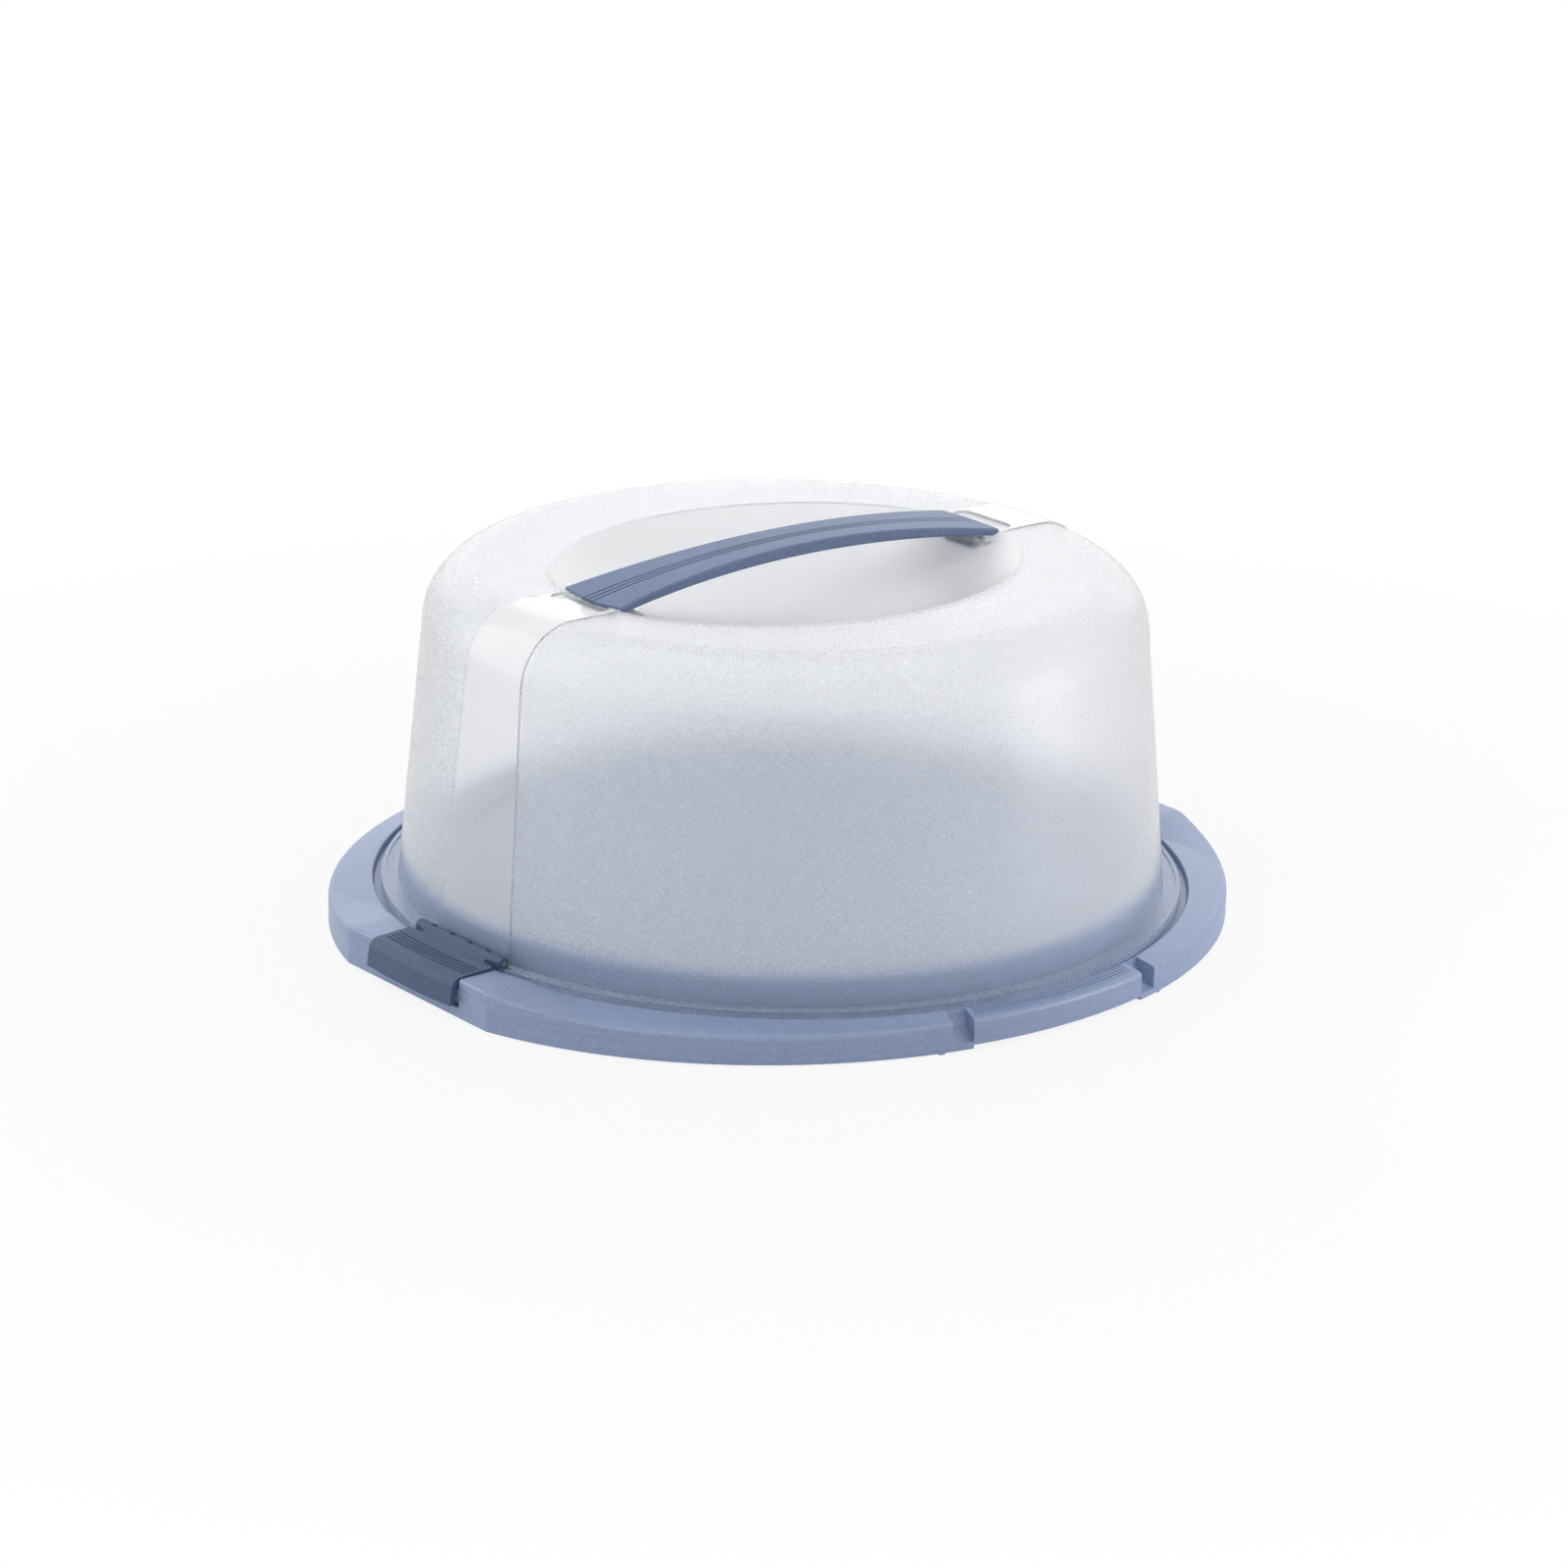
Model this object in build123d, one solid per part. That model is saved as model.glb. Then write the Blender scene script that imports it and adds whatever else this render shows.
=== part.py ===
from build123d import *
import math
import os

# Cake carrier: a moulded oval plate, a lift-off hood with a sunk dish in its top, an
# arched handle across the dish and two clips that hold the hood to the plate.
# Millimetres. +Z is up, the origin is at the bottom centre, and X runs along the
# handle, through both clips.

# Fits
seat_gap = 0.3              # between the hood's flange and the groove that it stands in
clip_gap = 0.5              # between a clip's skirt and the flat on the plate's end
hook_gap = 0.3              # between a clip's hook and the lip that it passes
hinge_gap = 0.07            # radial, between a clip's knuckles and the hinge rail
side_gap = 0.35             # beside the knuckles, and around the handle's ends and lugs

# Hood
hood_radius = 148.9         # outside of the wall at the flange
hood_height = 139.2         # top of the ring around the dish, above the table
hood_wall = 2.0
wall_draft = 5.4            # degrees
shoulder_radius = 22.8
flange_width = 6.5
flange_thickness = 2.9
bead_width = 1.6
bead_height = 0.5
dish_length = 190.6
dish_width = 159.8
dish_depth = 20.0
band_step = 0.6
band_top_width = 34.0
band_foot_width = 45.0
thumb_pocket_length = 30.0
thumb_pocket_reach = 9.0
thumb_pocket_depth = 1.2

# Plate
plate_wall = 2.2
foot_height = 0.6
foot_radius = 1.7
groove_height = 11.0        # floor of the groove above the table
platform_height = 23.0
platform_gap = 2.6          # from the hood's wall to the foot of the platform
platform_edge_radius = 2.5
platform_side_lean = 1.2
tray_radius = 125.0         # shallow sunk middle of the platform
tray_depth = 0.9
rim_gap = 3.3               # from the flange to the rim
rim_end_width = 21.3        # along X
rim_side_width = 7.8        # along Y
rim_step_lean = 0.6
rim_inner_height = 13.6
rim_outer_height = 11.3
rim_rounding = 1.6
rim_inner_rounding = 0.6
rib_thickness = 1.6
rib_depth = 5.0
ring_rib_radii = (58.0, 112.0)
spoke_count = 8

# Grips in the rim, one on each side between the clips
grip_half_angle = 14.3      # degrees, to the near side of each notch
notch_width = 8.4
notch_floor = 2.6
notch_cove_radius = 11.0
notch_inset = 0.6
grip_lift = 1.4
grip_rib_count = 4
grip_rib_width = 0.6
grip_rib_height = 0.5
grip_rib_pitch = 1.25
grip_rib_margin = 0.9       # from the rim's inner edge to the first rib
grip_rib_end = 2.6          # from a rib's end to the notch

# Clips
clip_width = 53.0
clip_curve_radius = 300.0   # of the skirt and the ribs, seen from above
clip_thickness = 2.0
clip_rise = 0.6             # underside of the flap above the flange
clip_fall = 0.8             # of the flap towards the skirt
clip_flare = 1.6
clip_rounding = 4.4
clip_foot = 5.8             # height of the skirt's lower edge
hinge_offset = 3.7          # hinge axis from the hood's wall
hinge_rise = 2.6            # hinge axis above the flange's top
rail_radius = 1.1
knuckle_radius = 2.2
ear_count = 4
ear_width = 2.6
ear_slot_overlap = 0.55    # of the slots past the hinge axis, so that the open clip clears the ears
hump_length = 3.6           # slope from the knuckles down to the flap
hump_inset = 0.3            # start of the slope inside the knuckle
ear_pitch = 11.2
sink_depth = 1.2            # sunk place in the flange under the knuckles
end_notch_length = 7.0      # V at each end of the flap, beside the knuckles
end_notch_width = 3.2
flat_depth = 6.4            # flat on each end of the plate, measured in from its full length
lip_height = 8.2            # underside of the lip over the hook's pocket
hook_height = 2.0
hook_pocket_depth = 2.4
hook_pocket_room = 1.5      # under the hook
clip_rib_count = 4
clip_rib_pitch = 2.0
clip_rib_width = 0.7
clip_rib_height = 0.4
clip_rib_inset = 6.4        # outermost rib from the flap's outer corner
clip_rib_end = 2.0

# Handle
handle_rise = 9.0
handle_end_width = 35.0
handle_waist = 23.0
handle_end_thickness = 2.6
handle_middle_thickness = 4.8
handle_lift = 1.0           # top of the handle's end above the ring
handle_edge_radius = 0.7
handle_groove_width = 0.7
handle_groove_depth = 0.5
handle_groove_end_pitch = 2.7
handle_groove_waist_pitch = 1.8
landing_length = 11.0       # shelf in the dish that carries the handle's end
lug_length = 3.2
lug_width = 18.0
lug_depth = 7.5

# Places that follow from the sizes above
flange_bottom = groove_height + seat_gap
flange_top = flange_bottom + flange_thickness
flange_radius = hood_radius + flange_width
rim_inner_radius = flange_radius + rim_gap
half_length = rim_inner_radius + rim_end_width
half_width = rim_inner_radius + rim_side_width
platform_radius = hood_radius - hood_wall - platform_gap
hinge_x = hood_radius + hinge_offset
hinge_z = flange_top + hinge_rise
flat_x = half_length - flat_depth
notch_angle = grip_half_angle + math.degrees(notch_width / 2 / half_width)
rail_half_length = clip_width / 2 - side_gap
handle_end_top = hood_height + handle_lift
handle_end_bottom = handle_end_top - handle_end_thickness
far = 4 * half_length       # size of cutting shapes, well past the part


def polygon(points):
    """Face in the XZ plane."""
    return Plane.XZ * make_face(Polyline(*points, close=True))


def round_corners(face, corners):
    """Rounds the corners of an XZ face that lie at the given (x, z, radius)."""
    for x, z, radius in corners:
        at = [v for v in face.vertices() if abs(v.X - x) < 1e-4 and abs(v.Z - z) < 1e-4]
        face = fillet(at, radius)
    return face


def slab(profile, half_thickness):
    """Closed solid of an XZ profile, half_thickness to each side of the XZ plane."""
    return extrude(profile, half_thickness, both=True)


def four_ways(solid):
    """The solid and its mirror images across X and Y."""
    pair = two_ways(solid)
    return pair + mirror(pair, Plane.XZ)


def two_ways(solid):
    return solid + mirror(solid, Plane.YZ)


def edges_at(solid, height, radius):
    """Closed edges at a height that cross the XZ plane at a radius."""
    return [
        edge for edge in solid.edges()
        if abs(edge.position_at(0).Z - height) < 1e-3
        and abs(edge.position_at(0.5).Z - height) < 1e-3
        and abs(math.hypot(edge.position_at(0).X, edge.position_at(0).Y) - radius) < 1e-3
    ]


def rim_reach(angle):
    """Distance from the middle to the plate's edge at an angle from X, in degrees."""
    turn = math.radians(angle)
    return 1 / math.hypot(math.cos(turn) / half_length, math.sin(turn) / half_width)


def rim_form(inset, bottom):
    """Oval block up to the rim's sloping top, with all faces moved in by inset."""
    shoulder = rim_outer_height - inset
    oval = Ellipse(half_length - inset, half_width - inset)
    block = extrude(Pos(0, 0, bottom) * oval, shoulder - bottom)
    crown = Pos(0, 0, rim_inner_height - inset) * Circle(rim_inner_radius + inset)
    return block + loft([Pos(0, 0, shoulder) * oval, crown], ruled=True)


def plate_form(inset, bottom):
    """Solid under the plate's top surface, all faces moved in by inset."""
    form = rim_form(inset, bottom)
    if rim_rounding > inset:
        outer_edge = edges_at(form, rim_outer_height - inset, half_length - inset)
        form = fillet(outer_edge, rim_rounding - inset)
    groove = groove_height - inset
    well = polygon([
        (0, groove),
        (rim_inner_radius - rim_step_lean + inset, groove),
        (rim_inner_radius + inset, rim_inner_height - inset),
        (rim_inner_radius + inset, far),
        (0, far),
    ])
    form -= revolve(well, Axis.Z)
    if rim_inner_rounding > inset:
        inner_edge = edges_at(form, rim_inner_height - inset, rim_inner_radius + inset)
        form = fillet(inner_edge, rim_inner_rounding - inset)

    top = platform_height - inset
    side_top = platform_radius - platform_side_lean - inset
    platform = round_corners(polygon([
        (0, bottom),
        (0, top),
        (side_top, top),
        (platform_radius - inset, groove),
        (platform_radius - inset, bottom),
    ]), [(side_top, top, platform_edge_radius - inset / 2)])
    form += revolve(platform, Axis.Z)

    # Flats under the clips, each with a pocket that leaves a lip over the hook
    flat = Pos(flat_x - inset + far / 2, 0, 0) * Box(far, far, far)
    pocket_low = lip_height - hook_gap - hook_height - hook_pocket_room - inset
    pocket_high = lip_height + inset
    pocket = Box(far, clip_width + 2 * clip_gap + 2 * inset, pocket_high - pocket_low)
    pocket_x = flat_x - hook_pocket_depth - inset
    pocket = Pos(pocket_x + far / 2, 0, (pocket_low + pocket_high) / 2) * pocket
    form -= two_ways(flat + pocket)

    # Notches, coved down from the rim's inner edge to a thin floor
    cove = notch_cove_radius + inset
    left = rim_inner_radius + notch_inset - inset
    centre_z = notch_floor + notch_cove_radius
    low_z = notch_floor - inset
    sag = cove * math.sqrt(0.5)
    outline = Wire([
        Line((left, 0, far), (left, 0, centre_z)).edge(),
        ThreePointArc((left, 0, centre_z), (left + cove - sag, 0, centre_z - sag),
                      (left + cove, 0, low_z)).edge(),
        Line((left + cove, 0, low_z), (far, 0, low_z)).edge(),
        Line((far, 0, low_z), (far, 0, far)).edge(),
        Line((far, 0, far), (left, 0, far)).edge(),
    ])
    notch = slab(Face(outline), notch_width / 2 + inset)
    return form - four_ways(Rot(0, 0, 90 - notch_angle) * notch)


def grip_sector(profile, margin):
    """The XZ profile turned about Z over one grip, margin short of each notch."""
    half = grip_half_angle - math.degrees(margin / half_width)
    return Rot(0, 0, 90 - half) * revolve(profile, Axis.Z, 2 * half)


def make_plate():
    plate = plate_form(0, foot_height) - plate_form(plate_wall, -foot_height)

    # Sunk tray in the platform
    plate -= Pos(0, 0, platform_height) * Cylinder(tray_radius, 2 * tray_depth)

    # Ribs under the platform
    rib_middle = platform_height - plate_wall - rib_depth / 2
    ribs = []
    for radius in ring_rib_radii:
        ring = Cylinder(radius + rib_thickness / 2, rib_depth + tray_depth)
        ring -= Cylinder(radius - rib_thickness / 2, rib_depth + tray_depth)
        ribs.append(Pos(0, 0, rib_middle) * ring)
    spoke_reach = platform_radius - platform_side_lean - plate_wall / 2
    for n in range(spoke_count // 2):
        spoke = Box(2 * spoke_reach, rib_thickness, rib_depth + tray_depth)
        ribs.append(Rot(0, 0, (n + 0.5) * 360 / spoke_count) * Pos(0, 0, rib_middle) * spoke)
    plate += ribs

    # Lifted lower edge of each grip
    below = polygon([
        (rim_inner_radius, 0),
        (half_length, 0),
        (half_length, foot_height + grip_lift),
        (rim_inner_radius, foot_height + grip_lift),
    ])
    lifted = grip_sector(below, 0)
    plate -= lifted + mirror(lifted, Plane.XZ)

    # Ribs on top of each grip, raised from the rim's own slope
    bars = []
    for n in range(grip_rib_count):
        inner = rim_inner_radius + grip_rib_margin + n * grip_rib_pitch
        outer = inner + grip_rib_width
        bars.append(grip_sector(polygon([
            (inner, groove_height),
            (outer, groove_height),
            (outer, rim_inner_height + grip_rib_height),
            (inner, rim_inner_height + grip_rib_height),
        ]), grip_rib_end))
    ribbed = rim_form(-grip_rib_height, groove_height) & (Part() + bars)
    ribbed -= rim_form(grip_rib_height, 0)
    plate += [ribbed, mirror(ribbed, Plane.XZ)]

    # Feet beside the notches
    foot_angle = 90 - notch_angle - math.degrees(notch_width / half_width)
    foot = Cylinder(foot_radius, 2 * foot_height)
    foot = Rot(0, 0, foot_angle) * Pos(rim_reach(foot_angle) - foot_radius, 0, foot_height) * foot
    return plate + four_ways(foot)


def hood_form(inset, bottom):
    """Solid under the hood's outer surface, all faces moved in by inset."""
    draft = math.radians(wall_draft)
    centre_z = hood_height - shoulder_radius
    wall_here = hood_radius - (centre_z - flange_top) * math.tan(draft)
    centre_x = wall_here - shoulder_radius / math.cos(draft)
    bend = shoulder_radius - inset

    def on_bend(angle):
        return (centre_x + bend * math.cos(angle), 0, centre_z + bend * math.sin(angle))

    wall_end = on_bend(draft)
    crest_end = on_bend(math.pi / 2)
    foot_x = wall_end[0] + (wall_end[2] - bottom) * math.tan(draft)
    outline = Wire([
        Line((0, 0, bottom), (foot_x, 0, bottom)).edge(),
        Line((foot_x, 0, bottom), wall_end).edge(),
        ThreePointArc(wall_end, on_bend((math.pi / 2 + draft) / 2), crest_end).edge(),
        Line(crest_end, (0, 0, crest_end[2])).edge(),
        Line((0, 0, crest_end[2]), (0, 0, bottom)).edge(),
    ])
    return revolve(Face(outline), Axis.Z)


def dish_form(inset):
    """Everything above the dish's surface, which is moved down and out by inset."""
    radius = dish_width / 2 + inset
    edge_z = hood_height - inset
    low_z = edge_z - dish_depth
    curve = (radius ** 2 + dish_depth ** 2) / (2 * dish_depth)
    half = math.asin(radius / curve) / 2
    middle = (curve * math.sin(half), 0, low_z + curve * (1 - math.cos(half)))
    top_z = handle_end_top + 2 * handle_rise
    outline = Wire([
        ThreePointArc((0, 0, low_z), middle, (radius, 0, edge_z)).edge(),
        Line((radius, 0, edge_z), (radius, 0, top_z)).edge(),
        Line((radius, 0, top_z), (0, 0, top_z)).edge(),
        Line((0, 0, top_z), (0, 0, low_z)).edge(),
    ])
    stretch = (dish_length / 2 + inset) / radius
    return scale(revolve(Face(outline), Axis.Z), by=(stretch, 1, 1))


def ear_places():
    first = -(ear_count - 1) * ear_pitch / 2
    return [first + n * ear_pitch for n in range(ear_count)]


def lug_span(grow):
    """Nearest and farthest X of the lug under the handle's right end."""
    inner = dish_length / 2 - landing_length / 2 - lug_length / 2 - grow
    outer = inner + lug_length + 2 * grow
    return inner, outer


def make_hood():
    outer = hood_form(0, flange_bottom)
    inner = hood_form(hood_wall, 0)

    # Raised bands from the handle's ends down to the clips
    strip = Plane.YZ * make_face(Polyline(
        (-band_foot_width / 2, flange_top),
        (band_foot_width / 2, flange_top),
        (band_top_width / 2, hood_height - shoulder_radius),
        (band_top_width / 2, hood_height + 2 * band_step),
        (-band_top_width / 2, hood_height + 2 * band_step),
        (-band_top_width / 2, hood_height - shoulder_radius),
        close=True,
    ))
    bands = hood_form(-band_step, flange_bottom) & extrude(strip, far, both=True)
    skin = outer + bands
    hood = skin - inner

    # Flange with a bead on its edge
    flange = polygon([
        (hood_radius - hood_wall / 2, flange_bottom),
        (flange_radius, flange_bottom),
        (flange_radius, flange_top + bead_height),
        (flange_radius - bead_width, flange_top + bead_height),
        (flange_radius - bead_width, flange_top),
        (hood_radius - hood_wall / 2, flange_top),
    ])
    hood += revolve(flange, Axis.Z)

    # Dish in the top, with a shelf at each end for the handle
    shelf_height = handle_end_bottom - hood_height + dish_depth
    shelf = Box(landing_length, lug_width + 2 * landing_length, shelf_height)
    shelf_x = dish_length / 2 - landing_length / 2
    shelf = Pos(shelf_x, 0, handle_end_bottom - shelf_height / 2) * shelf
    hood += dish_form(hood_wall) & skin
    hood -= dish_form(0)
    hood += two_ways(shelf & dish_form(hood_wall) & outer)

    # Slots for the handle's lugs
    inner_x, outer_x = lug_span(side_gap)
    slot = Box(outer_x - inner_x, lug_width + 2 * side_gap, dish_depth)
    hood -= two_ways(Pos((inner_x + outer_x) / 2, 0, handle_end_bottom) * slot)

    # Shallow pockets for a thumb beyond the handle's ends
    pocket = SlotOverall(thumb_pocket_length, thumb_pocket_reach, rotation=90)
    pocket = extrude(Plane.XY * pocket, thumb_pocket_depth + band_step)
    pocket_x = dish_length / 2 + thumb_pocket_reach / 2 - hood_wall / 2
    pocket_z = hood_height + band_step - thumb_pocket_depth
    hood -= two_ways(Pos(pocket_x, 0, pocket_z) * pocket)

    # Sunk places, ears and a rail for each clip's hinge
    sunk = Box(flange_width, clip_width + 2 * clip_gap, far)
    sunk_x = hood_radius + flange_width / 2 + band_step
    hood -= two_ways(Pos(sunk_x, 0, flange_top - sink_depth + far / 2) * sunk - outer)
    ear_height = hinge_z - flange_bottom
    ear_root = hood_radius - hood_wall / 2
    ear = Box(hinge_x - ear_root, ear_width, ear_height)
    ear = Pos((hinge_x + ear_root) / 2, 0, hinge_z - ear_height / 2) * ear
    rail = Pos(hinge_x, 0, hinge_z) * Rot(90, 0, 0) * Cylinder(rail_radius, 2 * rail_half_length)
    ears = [rail] + [Pos(0, y, 0) * ear for y in ear_places()]
    hinge = Part() + ears
    return hood + two_ways(hinge)


def make_clip():
    """The clip at +X, closed."""
    under = flange_top + clip_rise
    over = under + clip_thickness
    sagitta = clip_curve_radius - math.sqrt(clip_curve_radius ** 2 - (clip_width / 2) ** 2)
    within = knuckle_radius - hump_inset
    crest = (hinge_x + within * math.cos(math.pi / 3), hinge_z + within * math.sin(math.pi / 3))
    flap_x = crest[0] + hump_length / 2 + sagitta
    inner_corner = flat_x + sagitta + clip_gap - clip_flare / 4
    outer_corner = inner_corner + clip_thickness
    inner_foot = inner_corner + clip_flare
    outer_foot = inner_foot + clip_thickness
    points = [
        (flap_x, under),
        (rim_inner_radius, under),
        (inner_corner, under - clip_fall),
        (inner_foot, clip_foot),
        (outer_foot, clip_foot),
        (outer_corner, over - clip_fall),
        (rim_inner_radius, over),
        (flap_x, over),
    ]
    face = round_corners(polygon(points), [
        (outer_corner, over - clip_fall, clip_rounding),
        (inner_corner, under - clip_fall, clip_rounding - clip_thickness),
    ])
    centre = Pos(outer_foot - clip_curve_radius, 0, 0)
    turn = math.degrees(math.asin(clip_width / clip_curve_radius))

    def bend(profile):
        """The profile turned about the centre of the skirt's curve."""
        curved = revolve(centre.inverse() * profile, Axis.Z, 2 * turn)
        return centre * Rot(0, 0, -turn) * curved

    clip = bend(face) & Box(far, clip_width, far)

    # Knuckles, and the slope from them down to the flap
    axis = Pos(hinge_x, 0, hinge_z) * Rot(90, 0, 0)
    hump = slab(polygon([
        (hinge_x, under),
        (crest[0] + hump_length, under),
        (crest[0] + hump_length, over),
        crest,
        (hinge_x, crest[1]),
    ]), clip_width / 2)
    clip += hump + axis * Cylinder(knuckle_radius, clip_width)

    # Ribs for the fingertips
    for n in range(clip_rib_count):
        outer = outer_corner - clip_rib_inset - n * clip_rib_pitch
        inner = outer - clip_rib_width
        share = (outer - rim_inner_radius) / (outer_corner - rim_inner_radius)
        top = over - clip_fall * share
        bar = bend(polygon([
            (inner, top - clip_rib_height),
            (outer, top - clip_rib_height),
            (outer, top + clip_rib_height),
            (inner, top + clip_rib_height),
        ]))
        clip += bar & Box(far, clip_width - 2 * clip_rib_end, far)

    # V at each end of the flap, beside the knuckles
    v_x = hinge_x + knuckle_radius + end_notch_width / 2
    v_shape = Plane.XY * make_face(Polyline(
        (v_x - end_notch_width / 2, clip_width / 2 + clip_gap),
        (v_x + end_notch_width / 2, clip_width / 2 + clip_gap),
        (v_x + end_notch_width / 8, clip_width / 2 - end_notch_length),
        (v_x - end_notch_width / 8, clip_width / 2 - end_notch_length),
        close=True,
    ))
    v_cut = extrude(v_shape, far)
    clip -= [v_cut, mirror(v_cut, Plane.XZ)]

    # Hook under the plate's lip, straight like the flat that it faces
    hook_x = flat_x + hook_gap
    hook_top = lip_height - hook_gap
    root_x = inner_foot + clip_thickness / 4
    hook = slab(polygon([
        (hook_x, hook_top - hook_height / 2),
        (hook_x + hook_height / 2, hook_top - hook_height),
        (outer_foot, hook_top - hook_height),
        (outer_foot, hook_top),
        (hook_x, hook_top),
    ]), clip_width / 2 - clip_rib_end)
    within_skirt = bend(polygon([
        (hook_x - 2 * sagitta, hook_top - 2 * hook_height),
        (root_x, hook_top - 2 * hook_height),
        (root_x, hook_top + hook_height),
        (hook_x - 2 * sagitta, hook_top + hook_height),
    ]))
    clip += hook & within_skirt

    # Bore and mouth for the hood's rail, and slots for its ears
    clip -= axis * Cylinder(rail_radius + hinge_gap, clip_width)
    mouth = Box(2 * knuckle_radius, clip_width, rail_radius * 1.5)
    clip -= Pos(hinge_x - knuckle_radius, 0, hinge_z) * mouth
    ear_room = 2 * (knuckle_radius + side_gap)
    ear_slot = Box(ear_room, ear_width + 2 * side_gap, ear_room)
    for y in ear_places():
        clip -= Pos(hinge_x + ear_slot_overlap - ear_room / 2, y, hinge_z) * ear_slot
    return clip


def arch(top_end, top_middle, low_end, low_middle, reach):
    """XZ face between two arcs over the dish."""
    return Face(Wire([
        ThreePointArc((-reach, 0, top_end), (0, 0, top_middle), (reach, 0, top_end)).edge(),
        Line((reach, 0, top_end), (reach, 0, low_end)).edge(),
        ThreePointArc((reach, 0, low_end), (0, 0, low_middle), (-reach, 0, low_end)).edge(),
        Line((-reach, 0, low_end), (-reach, 0, top_end)).edge(),
    ]))


def waisted(end_low, waist_low, end_high, waist_high, reach):
    """XY face between two curves that run along the handle."""
    return make_face([
        Bezier((-reach, end_low), (0, 2 * waist_low - end_low), (reach, end_low)).edge(),
        Line((reach, end_low), (reach, end_high)).edge(),
        Bezier((reach, end_high), (0, 2 * waist_high - end_high), (-reach, end_high)).edge(),
        Line((-reach, end_high), (-reach, end_low)).edge(),
    ])


def make_handle():
    reach = dish_length / 2
    middle_top = handle_end_top + handle_rise
    side = arch(handle_end_top, middle_top, handle_end_bottom,
                middle_top - handle_middle_thickness, reach)
    half_end = handle_end_width / 2
    plan = waisted(-half_end, -handle_waist / 2, half_end, handle_waist / 2, reach)
    handle = slab(side, half_end) & extrude(plan, far)
    handle = fillet(handle.edges().filter_by(lambda e: e.length > reach), handle_edge_radius)
    handle &= dish_form(-side_gap)

    # Fine grooves along the top, which draw together at the waist
    skin = slab(arch(handle_end_top + 1, middle_top + 1, handle_end_top - handle_groove_depth,
                     middle_top - handle_groove_depth, reach), half_end)
    half_groove = handle_groove_width / 2
    for n in (-1, 0, 1):
        end = n * handle_groove_end_pitch
        waist = n * handle_groove_waist_pitch
        line = waisted(end - half_groove, waist - half_groove, end + half_groove,
                       waist + half_groove, reach)
        handle -= skin & extrude(line, far)

    # Lugs that press into the hood's slots
    inner_x, outer_x = lug_span(0)
    low_z = handle_end_bottom - lug_depth
    lug = polygon([
        (inner_x, handle_end_bottom + handle_end_thickness / 2),
        (inner_x, low_z),
        (outer_x, low_z),
        (outer_x, handle_end_bottom + handle_end_thickness / 2),
    ])
    return handle + two_ways(slab(lug, lug_width / 2))


def main():
    os.makedirs("parts", exist_ok=True)
    clip = make_clip()
    parts = {
        "plate": make_plate(),
        "hood": make_hood(),
        "handle": make_handle(),
        "clip_right": clip,
        "clip_left": mirror(clip, Plane.YZ),
    }
    for name, part in parts.items():
        export_step(part, f"parts/{name}.step")


main()
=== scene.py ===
import math
import bmesh
import bpy
from mathutils import Matrix, Vector


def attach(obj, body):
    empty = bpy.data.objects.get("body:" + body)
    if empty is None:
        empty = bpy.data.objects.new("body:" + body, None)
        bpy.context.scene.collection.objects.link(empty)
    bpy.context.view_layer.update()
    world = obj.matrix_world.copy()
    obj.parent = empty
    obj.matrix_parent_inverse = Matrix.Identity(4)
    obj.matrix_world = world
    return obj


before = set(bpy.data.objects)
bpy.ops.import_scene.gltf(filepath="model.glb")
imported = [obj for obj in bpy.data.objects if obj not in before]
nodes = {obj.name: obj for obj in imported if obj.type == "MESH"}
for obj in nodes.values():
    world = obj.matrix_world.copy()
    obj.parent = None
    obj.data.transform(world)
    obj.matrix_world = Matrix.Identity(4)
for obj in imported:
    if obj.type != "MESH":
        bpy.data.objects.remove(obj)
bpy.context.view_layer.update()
scene = bpy.context.scene
print("frame loaded")

# Camera, in metres and degrees
camera = {
    "turn": 39.524,        # how far the handle runs away from the picture plane
    "elevation": 18.6105,
    "roll": 1.1657,
    "distance": 1.9102,
    "lens": 113.629,
    "target": 0.0792,      # height of the point that the camera is set from
    "rise": 0.02841,       # how far the camera's own line passes above it
    "sensor": 36, "nearest": 0.05, "farthest": 50,
}


def makeCamera(look):
    e, r, t = (math.radians(look[k]) for k in ("elevation", "roll", "turn"))
    forward = Vector((0, math.cos(e), -math.sin(e)))
    across = Vector((1, 0, 0))
    upward = Vector((0, math.sin(e), math.cos(e)))
    right = across * math.cos(r) + upward * math.sin(r)
    up = upward * math.cos(r) - across * math.sin(r)
    place = Vector((0, 0, look["target"])) - forward * look["distance"] - up * look["rise"]
    turn = Matrix.Rotation(-t, 3, "Z")
    basis = Matrix((turn @ right, turn @ up, turn @ -forward)).transposed()
    data = bpy.data.cameras.new("camera")
    data.lens = look["lens"]
    data.sensor_width = look["sensor"]
    data.clip_start = look["nearest"]
    data.clip_end = look["farthest"]
    made = bpy.data.objects.new("camera", data)
    made.matrix_world = Matrix.Translation(turn @ place) @ basis.to_4x4()
    scene.collection.objects.link(made)
    scene.camera = made
    return turn


turn = makeCamera(camera)

lampAim = (0, 0, 0.07)     # the point that every soft box faces

# Soft boxes: place is right, away and up as the camera sees it
lamps = {
    "keyLeft": {"place": (-1.7, 0.1, 0.85), "size": (1.9, 1.6), "watts": 14},
    "cardRight": {"place": (0.45, -0.13, 0.13), "size": (0.16, 0.24), "watts": 0.5},
    "overhead": {"place": (0.1, 0.4, 1.8), "size": (1.8, 1.1), "watts": 6},
    "behind": {"place": (0.0, 2.4, 0.75), "size": (3.4, 1.2), "watts": 10},
    "front": {"place": (0.5, -2.2, 0.8), "size": (2.2, 1.2), "watts": 5},
}


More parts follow.
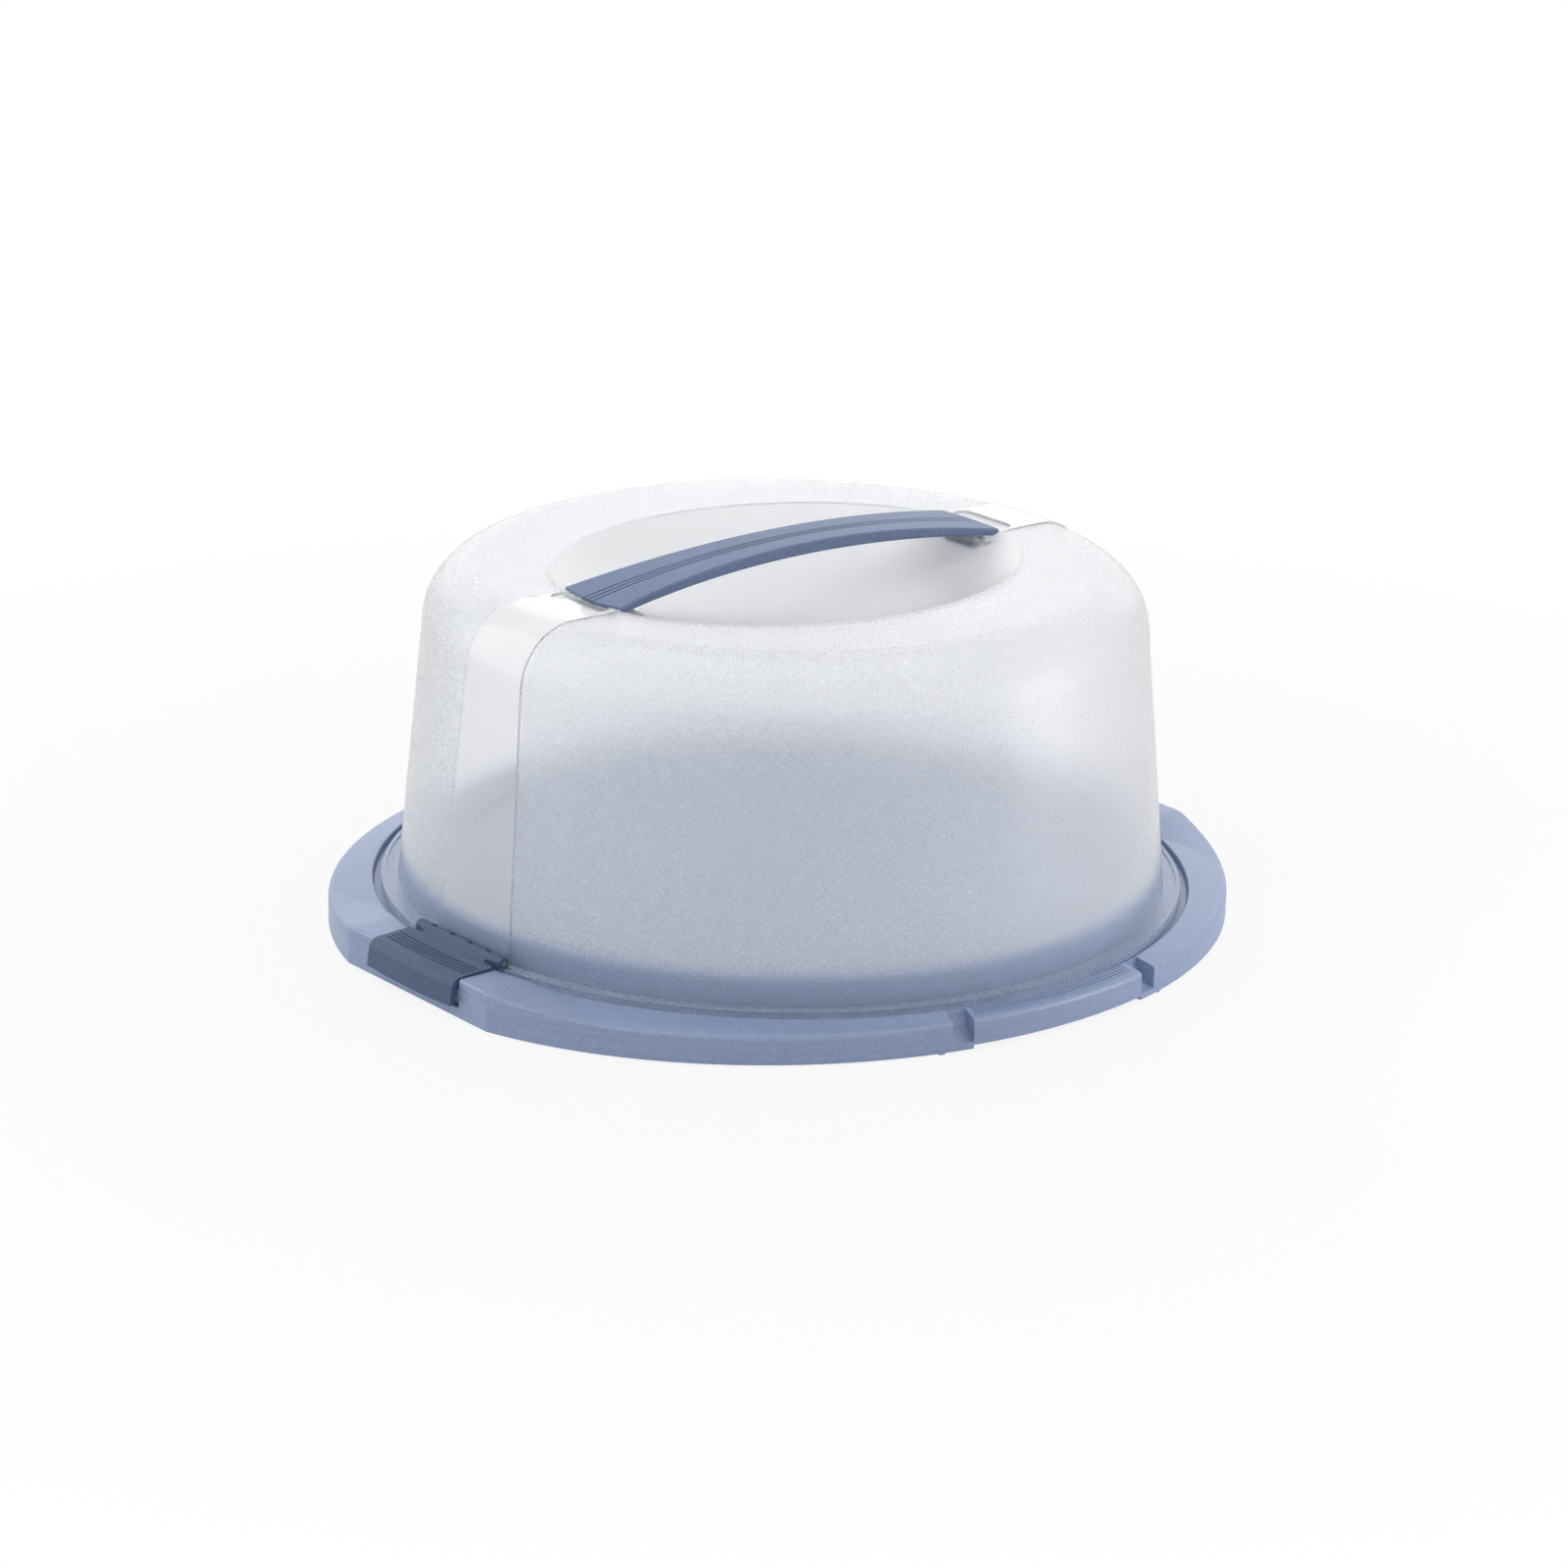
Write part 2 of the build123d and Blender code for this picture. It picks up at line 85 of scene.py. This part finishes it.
def makeLamps(sizes):
    for name, s in sizes.items():
        data = bpy.data.lights.new(name, "AREA")
        data.shape = "RECTANGLE"
        data.size, data.size_y = s["size"]
        data.energy = s["watts"]
        lamp = bpy.data.objects.new(name, data)
        place = turn @ Vector(s["place"])
        aim = Vector(lampAim) - place
        facing = aim.to_track_quat("-Z", "Y").to_matrix().to_4x4()
        lamp.matrix_world = Matrix.Translation(place) @ facing
        lamp.visible_camera = False
        scene.collection.objects.link(lamp)


makeLamps(lamps)
scene.view_settings.view_transform = "Standard"
print("camera and lamps made")


# Places a node and sets its inputs and properties by name
def addNode(tree, kind, x, y, inputs=None, **settings):
    made = tree.nodes.new(kind)
    made.location = (x, y)
    for key, value in settings.items():
        setattr(made, key, value)
    for key, value in (inputs or {}).items():
        made.inputs[key].default_value = value
    return made


def newMaterial(name):
    made = bpy.data.materials.new(name)
    made.use_nodes = True
    made.node_tree.nodes.clear()
    return made, made.node_tree


def newGroup(name, inputs, outputs):
    tree = bpy.data.node_groups.new(name, "ShaderNodeTree")
    for label, value in inputs.items():
        kind = "NodeSocketColor" if isinstance(value, tuple) else "NodeSocketFloat"
        socket = tree.interface.new_socket(name=label, in_out="INPUT", socket_type=kind)
        socket.default_value = value
    for label, kind in outputs.items():
        tree.interface.new_socket(name=label, in_out="OUTPUT", socket_type=kind)
    start = addNode(tree, "NodeGroupInput", -900, 0)
    end = addNode(tree, "NodeGroupOutput", 900, 0)
    return tree, start, end


def useGroup(tree, group, x, y, values):
    made = addNode(tree, "ShaderNodeGroup", x, y, node_tree=group)
    for key, value in values.items():
        made.inputs[key].default_value = value
    return made


# Spark-eroded mould grain with a slow drift in tone, shared by all the plastics
def makeGrainGroup():
    inputs = {"Tone": (0.5, 0.5, 0.5, 1), "Shade": (0.45, 0.45, 0.45, 1), "Grain Scale": 2200.0,
              "Drift Scale": 9.0, "Roughness": 0.45, "Spread": 0.06,
              "Drift Share": 0.3, "Grain Share": 0.4, "Streak Share": 0.3}
    outputs = {"Colour": "NodeSocketColor", "Roughness": "NodeSocketFloat",
               "Height": "NodeSocketFloat"}
    tree, start, end = newGroup("mould grain", inputs, outputs)
    place = addNode(tree, "ShaderNodeTexCoord", -1300, -300)
    drift = addNode(tree, "ShaderNodeTexNoise", -600, 200, {"Detail": 3.0, "Roughness": 0.6})
    grain = addNode(tree, "ShaderNodeTexNoise", -600, -200, {"Detail": 2.0, "Roughness": 0.7})
    pits = addNode(tree, "ShaderNodeTexVoronoi", -600, -500, {"Randomness": 1.0})
    squeeze = addNode(tree, "ShaderNodeMapping", -1000, -600, {"Scale": (6, 6, 700)})
    streak = addNode(tree, "ShaderNodeTexNoise", -600, -800, {"Scale": 1.0, "Detail": 2.0})
    drifted = addNode(tree, "ShaderNodeMath", -300, 200, operation="MULTIPLY")
    specked = addNode(tree, "ShaderNodeMath", -300, 0, operation="MULTIPLY_ADD")
    both = addNode(tree, "ShaderNodeMath", -100, 100, operation="MULTIPLY_ADD")
    contrast = addNode(tree, "ShaderNodeMapRange", 0, 300, {"From Min": 0.32, "From Max": 0.68})
    colour = addNode(tree, "ShaderNodeMix", 250, 200, data_type="RGBA")
    high = addNode(tree, "ShaderNodeMath", -100, -100, operation="ADD")
    low = addNode(tree, "ShaderNodeMath", -100, -300, operation="SUBTRACT")
    rough = addNode(tree, "ShaderNodeMapRange", 300, -100)
    relief = addNode(tree, "ShaderNodeMath", 300, -400, {1: 0.5}, operation="MULTIPLY_ADD")
    link = tree.links.new
    for texture in (drift, grain, pits, squeeze):
        link(place.outputs["Object"], texture.inputs["Vector"])
    link(squeeze.outputs["Vector"], streak.inputs["Vector"])
    link(start.outputs["Drift Scale"], drift.inputs["Scale"])
    link(start.outputs["Grain Scale"], grain.inputs["Scale"])
    link(start.outputs["Grain Scale"], pits.inputs["Scale"])
    link(drift.outputs["Fac"], drifted.inputs[0])
    link(start.outputs["Drift Share"], drifted.inputs[1])
    link(grain.outputs["Fac"], specked.inputs[0])
    link(start.outputs["Grain Share"], specked.inputs[1])
    link(drifted.outputs[0], specked.inputs[2])
    link(streak.outputs["Fac"], both.inputs[0])
    link(start.outputs["Streak Share"], both.inputs[1])
    link(specked.outputs[0], both.inputs[2])
    link(both.outputs[0], contrast.inputs["Value"])
    link(contrast.outputs["Result"], colour.inputs["Factor"])
    link(start.outputs["Shade"], colour.inputs["A"])
    link(start.outputs["Tone"], colour.inputs["B"])
    link(start.outputs["Roughness"], high.inputs[0])
    link(start.outputs["Spread"], high.inputs[1])
    link(start.outputs["Roughness"], low.inputs[0])
    link(start.outputs["Spread"], low.inputs[1])
    link(both.outputs[0], rough.inputs["Value"])
    link(low.outputs[0], rough.inputs["To Min"])
    link(high.outputs[0], rough.inputs["To Max"])
    link(pits.outputs["Distance"], relief.inputs[0])
    link(grain.outputs["Fac"], relief.inputs[2])
    link(colour.outputs["Result"], end.inputs["Colour"])
    link(rough.outputs["Result"], end.inputs["Roughness"])
    link(relief.outputs[0], end.inputs["Height"])
    return tree


grainGroup = makeGrainGroup()

plasticIor = 1.49

# Finishes of the blue plastics
plastics = {
    "plate": {"Tone": (0.222, 0.292, 0.468, 1), "Shade": (0.142, 0.197, 0.335, 1),
              "Grain Scale": 650.0, "Drift Scale": 8.0, "Roughness": 0.42, "Spread": 0.06,
              "Drift Share": 0.1, "Grain Share": 0.5, "Streak Share": 0.4,
              "relief": 0.00003, "strength": 0.4, "specular": 0.95},
    "handle": {"Tone": (0.136, 0.190, 0.320, 1), "Shade": (0.086, 0.126, 0.222, 1),
               "Grain Scale": 700.0, "Drift Scale": 14.0, "Roughness": 0.48, "Spread": 0.05,
               "Drift Share": 0.3, "Grain Share": 0.7, "Streak Share": 0.0,
               "relief": 0.00002, "strength": 0.35, "specular": 0.35},
    "clip": {"Tone": (0.066, 0.101, 0.182, 1), "Shade": (0.042, 0.066, 0.122, 1),
             "Grain Scale": 700.0, "Drift Scale": 18.0, "Roughness": 0.50, "Spread": 0.05,
             "Drift Share": 0.3, "Grain Share": 0.5, "Streak Share": 0.2,
             "relief": 0.00003, "strength": 0.4, "specular": 0.3},
}


def makePlastic(name, finish):
    made, tree = newMaterial(name)
    group = {k: v for k, v in finish.items() if k[0].isupper()}
    grain = useGroup(tree, grainGroup, -500, 0, group)
    bump = addNode(tree, "ShaderNodeBump", -250, -250,
                   {"Strength": finish["strength"], "Distance": finish["relief"]})
    shader = addNode(tree, "ShaderNodeBsdfPrincipled", 0, 0, {
        "IOR": plasticIor, "Specular IOR Level": finish["specular"]})
    out = addNode(tree, "ShaderNodeOutputMaterial", 300, 0)
    tree.links.new(grain.outputs["Colour"], shader.inputs["Base Color"])
    tree.links.new(grain.outputs["Roughness"], shader.inputs["Roughness"])
    tree.links.new(grain.outputs["Height"], bump.inputs["Height"])
    tree.links.new(bump.outputs["Normal"], shader.inputs["Normal"])
    tree.links.new(shader.outputs["BSDF"], out.inputs["Surface"])
    return made


blue = {name: makePlastic(name + " blue", finish) for name, finish in plastics.items()}

# The hood's frosted wall, with a polished dish and polished bands down to the clips, and painted shade
# towards its foot
hoodFinish = {
    "dishLength": 0.0953, "dishWidth": 0.0799,   # half sizes of the polished oval
    "bandTop": 0.0170, "bandFoot": 0.0225,       # half widths of a band
    "topHeight": 0.1164, "footHeight": 0.0142,
    "frosted": 0.28, "polished": 0.13, "dish": 0.30,
    "frostedColour": (0.984, 0.991, 1.0, 1), "frostedShade": (0.962, 0.973, 0.994, 1),
    "polishedColour": (0.998, 0.998, 1.0, 1),
    # Painted shade: a darker blue tint at the hood's foot, standing in for the shaded blue plate seen
    # through the wall
    "footPaintedShade": (0.70, 0.78, 0.91, 1), "paintedShadeFrom": 0.0290, "paintedShadeTo": 0.0220,
    "transmission": 0.80, "ior": 1.29, "specular": 0.35,
    "grainScale": 1500.0, "driftScale": 5.0, "spread": 0.05,
    "driftShare": 0.3, "grainShare": 0.7,
    "strength": 0.3, "relief": 0.00002, "flatHeight": 0.5,   # the polished places have an even height
}


# Mask of the polished places, 1 inside the dish's edge and on the two bands
def makePolishGroup(size):
    inputs = {"Dish Length": size["dishLength"], "Dish Width": size["dishWidth"],
              "Band Top": size["bandTop"], "Band Foot": size["bandFoot"],
              "Top Height": size["topHeight"], "Foot Height": size["footHeight"]}
    outputs = {"Mask": "NodeSocketFloat", "Dish": "NodeSocketFloat"}
    tree, start, end = newGroup("polished places", inputs, outputs)
    place = addNode(tree, "ShaderNodeTexCoord", -900, -300)
    axes = addNode(tree, "ShaderNodeSeparateXYZ", -700, -300)
    tree.links.new(place.outputs["Object"], axes.inputs[0])

    def combine(kind, a, b, x, y):
        made = addNode(tree, "ShaderNodeMath", x, y, operation=kind)
        for slot, value in enumerate((a, b)):
            if isinstance(value, bpy.types.NodeSocket):
                tree.links.new(value, made.inputs[slot])
            else:
                made.inputs[slot].default_value = value
        return made.outputs[0]

    along = combine("DIVIDE", axes.outputs["X"], start.outputs["Dish Length"], -450, 300)
    aside = combine("DIVIDE", axes.outputs["Y"], start.outputs["Dish Width"], -450, 150)
    reach = combine("ADD", combine("POWER", combine("ABSOLUTE", along, 0.0, -300, 300), 2.0, -150, 300),
                  combine("POWER", combine("ABSOLUTE", aside, 0.0, -300, 150), 2.0, -150, 150), 0, 200)
    inDish = combine("LESS_THAN", reach, 1.0, 150, 200)
    width = addNode(tree, "ShaderNodeMapRange", -300, -200)
    tree.links.new(axes.outputs["Z"], width.inputs["Value"])
    for label, source in (("From Min", "Foot Height"), ("From Max", "Top Height"),
                          ("To Min", "Band Foot"), ("To Max", "Band Top")):
        tree.links.new(start.outputs[source], width.inputs[label])
    beside = combine("ABSOLUTE", axes.outputs["Y"], 0.0, -300, -400)
    inBand = combine("LESS_THAN", beside, width.outputs["Result"], 0, -200)
    outside = combine("GREATER_THAN", combine("ABSOLUTE", axes.outputs["X"], 0.0, -300, -550),
                    start.outputs["Dish Width"], 0, -400)
    onBand = combine("MULTIPLY", inBand, outside, 200, -250)
    mask = combine("MAXIMUM", inDish, onBand, 450, 0)
    tree.links.new(mask, end.inputs["Mask"])
    tree.links.new(inDish, end.inputs["Dish"])
    return tree


def makeHoodMaterial(finish):
    made, tree = newMaterial("hood frosted and polished")
    polish = useGroup(tree, makePolishGroup(finish), -800, 200, {})
    grain = useGroup(tree, grainGroup, -800, -100, {
        "Tone": finish["frostedColour"], "Shade": finish["frostedShade"],
        "Grain Scale": finish["grainScale"], "Drift Scale": finish["driftScale"],
        "Roughness": finish["frosted"], "Spread": finish["spread"],
        "Drift Share": finish["driftShare"], "Grain Share": finish["grainShare"],
        "Streak Share": 0.0})
    colour = addNode(tree, "ShaderNodeMix", -450, 200,
                     {"B": finish["polishedColour"]}, data_type="RGBA")
    rough = addNode(tree, "ShaderNodeMix", -450, -50, {"B": finish["polished"]})
    inDish = addNode(tree, "ShaderNodeMix", -200, -50, {"B": finish["dish"]})
    relief = addNode(tree, "ShaderNodeMix", -450, -300, {"B": finish["flatHeight"]})
    place = addNode(tree, "ShaderNodeTexCoord", -1000, 500)
    axes = addNode(tree, "ShaderNodeSeparateXYZ", -800, 500)
    # Painted shade: the base colour turns to the darker blue tint towards the hood's foot
    shadeRamp = addNode(tree, "ShaderNodeMapRange", -600, 500, {
        "From Min": finish["paintedShadeFrom"], "From Max": finish["paintedShadeTo"]})
    footShaded = addNode(tree, "ShaderNodeMix", -200, 300,
                     {"B": finish["footPaintedShade"]}, data_type="RGBA")
    bump = addNode(tree, "ShaderNodeBump", -200, -300,
                   {"Strength": finish["strength"], "Distance": finish["relief"]})
    shader = addNode(tree, "ShaderNodeBsdfPrincipled", 0, 0, {
        "IOR": finish["ior"], "Transmission Weight": finish["transmission"],
        "Specular IOR Level": finish["specular"]})
    out = addNode(tree, "ShaderNodeOutputMaterial", 300, 0)
    link = tree.links.new
    for mix, source in ((colour, "Colour"), (rough, "Roughness"), (relief, "Height")):
        link(polish.outputs["Mask"], mix.inputs["Factor"])
        link(grain.outputs[source], mix.inputs["A"])
    link(place.outputs["Object"], axes.inputs[0])
    link(axes.outputs["Z"], shadeRamp.inputs["Value"])
    link(shadeRamp.outputs["Result"], footShaded.inputs["Factor"])
    link(colour.outputs["Result"], footShaded.inputs["A"])
    link(footShaded.outputs["Result"], shader.inputs["Base Color"])
    link(polish.outputs["Dish"], inDish.inputs["Factor"])
    link(rough.outputs["Result"], inDish.inputs["A"])
    link(inDish.outputs["Result"], shader.inputs["Roughness"])
    link(relief.outputs["Result"], bump.inputs["Height"])
    link(bump.outputs["Normal"], shader.inputs["Normal"])
    link(shader.outputs["BSDF"], out.inputs["Surface"])
    return made


hoodMaterial = makeHoodMaterial(hoodFinish)


def dress(piece, material):
    piece.data.materials.clear()
    piece.data.materials.append(material)


dress(nodes["plate"], blue["plate"])
dress(nodes["hood"], hoodMaterial)
dress(nodes["handle"], blue["handle"])
dress(nodes["clip_left"], blue["clip"])
dress(nodes["clip_right"], blue["clip"])
print("finishes made")

# Shoulders of the rim beside each clip, which lift its outer edge nearly flush with the flap
shoulders = {
    "innerRadius": 0.15885,
    "halfLength": 0.17995, "halfWidth": 0.16645,   # oval of the outer wall
    "flat": 0.17355,                               # the oval is cut off here at each clip
    "start": 0.0272, "levelEnd": 0.042, "end": 0.118,
    "level": 0.0156, "bend": (0.066, 0.0120), "low": (0.125, 0.0100),
    "foot": 0.0095, "edge": 0.0012,
    "stations": 40, "arcSteps": 4, "sharpFrom": 50,
}


# Height of a shoulder's top at a distance from the clip's middle
def shoulderTop(size, y):
    if y <= size["levelEnd"]:
        return size["level"]
    (y0, z0), (y1, z1), (y2, z2) = (size["levelEnd"], size["level"]), size["bend"], size["low"]
    a, b, c = y0 - 2 * y1 + y2, 2 * (y1 - y0), y0 - y
    t = (-b + math.sqrt(b * b - 4 * a * c)) / (2 * a)
    return z0 * (1 - t) ** 2 + 2 * z1 * t * (1 - t) + z2 * t * t


def shoulderSection(size, y):
    top = shoulderTop(size, y)
    inner = math.sqrt(size["innerRadius"] ** 2 - y * y)
    outer = min(size["flat"], size["halfLength"] * math.sqrt(1 - (y / size["halfWidth"]) ** 2))
    points = [(inner, y, size["foot"])]
    for centre, start in ((inner + size["edge"], math.pi), (outer - size["edge"], math.pi / 2)):
        for step in range(size["arcSteps"] + 1):
            angle = start - math.pi / 2 * step / size["arcSteps"]
            points.append((centre + size["edge"] * math.cos(angle), y,
                           top - size["edge"] + size["edge"] * math.sin(angle)))
    points.append((outer, y, size["foot"]))
    return points


def makeShoulders(size):
    points, faces = [], []
    for sideX in (1, -1):
        for sideY in (1, -1):
            base = len(points)
            for i in range(size["stations"] + 1):
                y = size["start"] + (size["end"] - size["start"]) * i / size["stations"]
                ring = shoulderSection(size, y)
                points += [(sideX * p[0], sideY * p[1], p[2]) for p in ring]
            count = len(ring)
            made = [tuple(base + k for k in range(count)),
                    tuple(base + size["stations"] * count + k for k in reversed(range(count)))]
            for i in range(size["stations"]):
                for k in range(count):
                    a, b = base + i * count + k, base + i * count + (k + 1) % count
                    made.append((a, a + count, b + count, b))
            if sideX * sideY < 0:
                made = [tuple(reversed(face)) for face in made]
            faces += made
    mesh = bpy.data.meshes.new("rim_shoulders")
    mesh.from_pydata(points, [], faces)
    mesh.update()
    piece = bpy.data.objects.new("rim_shoulders", mesh)
    scene.collection.objects.link(piece)
    shape = bmesh.new()
    shape.from_mesh(mesh)
    bmesh.ops.recalc_face_normals(shape, faces=shape.faces)
    shape.to_mesh(mesh)
    shape.free()
    mesh.shade_smooth()
    mesh.set_sharp_from_angle(angle=math.radians(size["sharpFrom"]))
    dress(piece, blue["plate"])
    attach(piece, "base")
    return piece


makeShoulders(shoulders)
print("rim shoulders made")

# Floor and surroundings
surroundings = {
    "floorSize": 24.0, "floorColour": (0.62, 0.62, 0.62, 1),
    "floorRoughness": 0.8, "floorSpecular": 0.1,
    "shadowReach": 0.24, "whiteFrom": 0.60,   # the floor turns from shaded to white between these
    "leastWhite": 0.87,
    "ambient": 0.82,
}


# Two masks: at first hand, and in a reflection or through a clear wall
def waysSeen(tree, x, y):
    path = addNode(tree, "ShaderNodeLightPath", x, y)
    other = addNode(tree, "ShaderNodeMath", x + 200, y - 100, operation="MAXIMUM")
    tree.links.new(path.outputs["Is Glossy Ray"], other.inputs[0])
    tree.links.new(path.outputs["Is Transmission Ray"], other.inputs[1])
    return path.outputs["Is Camera Ray"], other.outputs[0]


def makeStage(sizes):
    half = sizes["floorSize"] / 2
    mesh = bpy.data.meshes.new("floor")
    corners = [(-half, -half, 0), (half, -half, 0), (half, half, 0), (-half, half, 0)]
    mesh.from_pydata(corners, [], [(0, 1, 2, 3)])
    floor = bpy.data.objects.new("floor", mesh)
    scene.collection.objects.link(floor)
    material, tree = newMaterial("floor pale")
    shader = addNode(tree, "ShaderNodeBsdfPrincipled", 0, 0, {
        "Base Color": sizes["floorColour"], "Roughness": sizes["floorRoughness"],
        "Specular IOR Level": sizes["floorSpecular"]})
    white = addNode(tree, "ShaderNodeEmission", 0, -450, {"Color": (1, 1, 1, 1)})
    mix = addNode(tree, "ShaderNodeMixShader", 300, 0)
    out = addNode(tree, "ShaderNodeOutputMaterial", 500, 0)
    place = addNode(tree, "ShaderNodeTexCoord", -1000, -300)
    reach = addNode(tree, "ShaderNodeVectorMath", -800, -300, operation="LENGTH")
    fade = addNode(tree, "ShaderNodeMapRange", -600, -300, {
        "From Min": sizes["shadowReach"], "From Max": sizes["whiteFrom"],
        "To Min": sizes["leastWhite"]})
    direct, other = waysSeen(tree, -900, 100)
    faded = addNode(tree, "ShaderNodeMath", -300, 0, operation="MULTIPLY")
    share = addNode(tree, "ShaderNodeMath", 0, 200, operation="MAXIMUM")
    tree.links.new(place.outputs["Object"], reach.inputs[0])
    tree.links.new(reach.outputs["Value"], fade.inputs["Value"])
    tree.links.new(fade.outputs["Result"], faded.inputs[0])
    tree.links.new(direct, faded.inputs[1])
    tree.links.new(faded.outputs[0], share.inputs[0])
    tree.links.new(other, share.inputs[1])
    tree.links.new(share.outputs[0], mix.inputs["Fac"])
    tree.links.new(shader.outputs["BSDF"], mix.inputs[1])
    tree.links.new(white.outputs[0], mix.inputs[2])
    tree.links.new(mix.outputs[0], out.inputs["Surface"])
    mesh.materials.append(material)

    world = bpy.data.worlds.new("studio")
    scene.world = world
    world.use_nodes = True
    tree = world.node_tree
    tree.nodes.clear()
    direct, other = waysSeen(tree, -700, 0)
    seen = addNode(tree, "ShaderNodeMath", -250, 0, operation="MAXIMUM")
    strength = addNode(tree, "ShaderNodeMix", -50, 0, {"A": sizes["ambient"], "B": 1.0})
    sky = addNode(tree, "ShaderNodeBackground", 150, 0, {"Color": (1, 1, 1, 1)})
    end = addNode(tree, "ShaderNodeOutputWorld", 350, 0)
    tree.links.new(direct, seen.inputs[0])
    tree.links.new(other, seen.inputs[1])
    tree.links.new(seen.outputs[0], strength.inputs["Factor"])
    tree.links.new(strength.outputs["Result"], sky.inputs["Strength"])
    tree.links.new(sky.outputs["Background"], end.inputs["Surface"])
    return floor


makeStage(surroundings)
print("stage made")
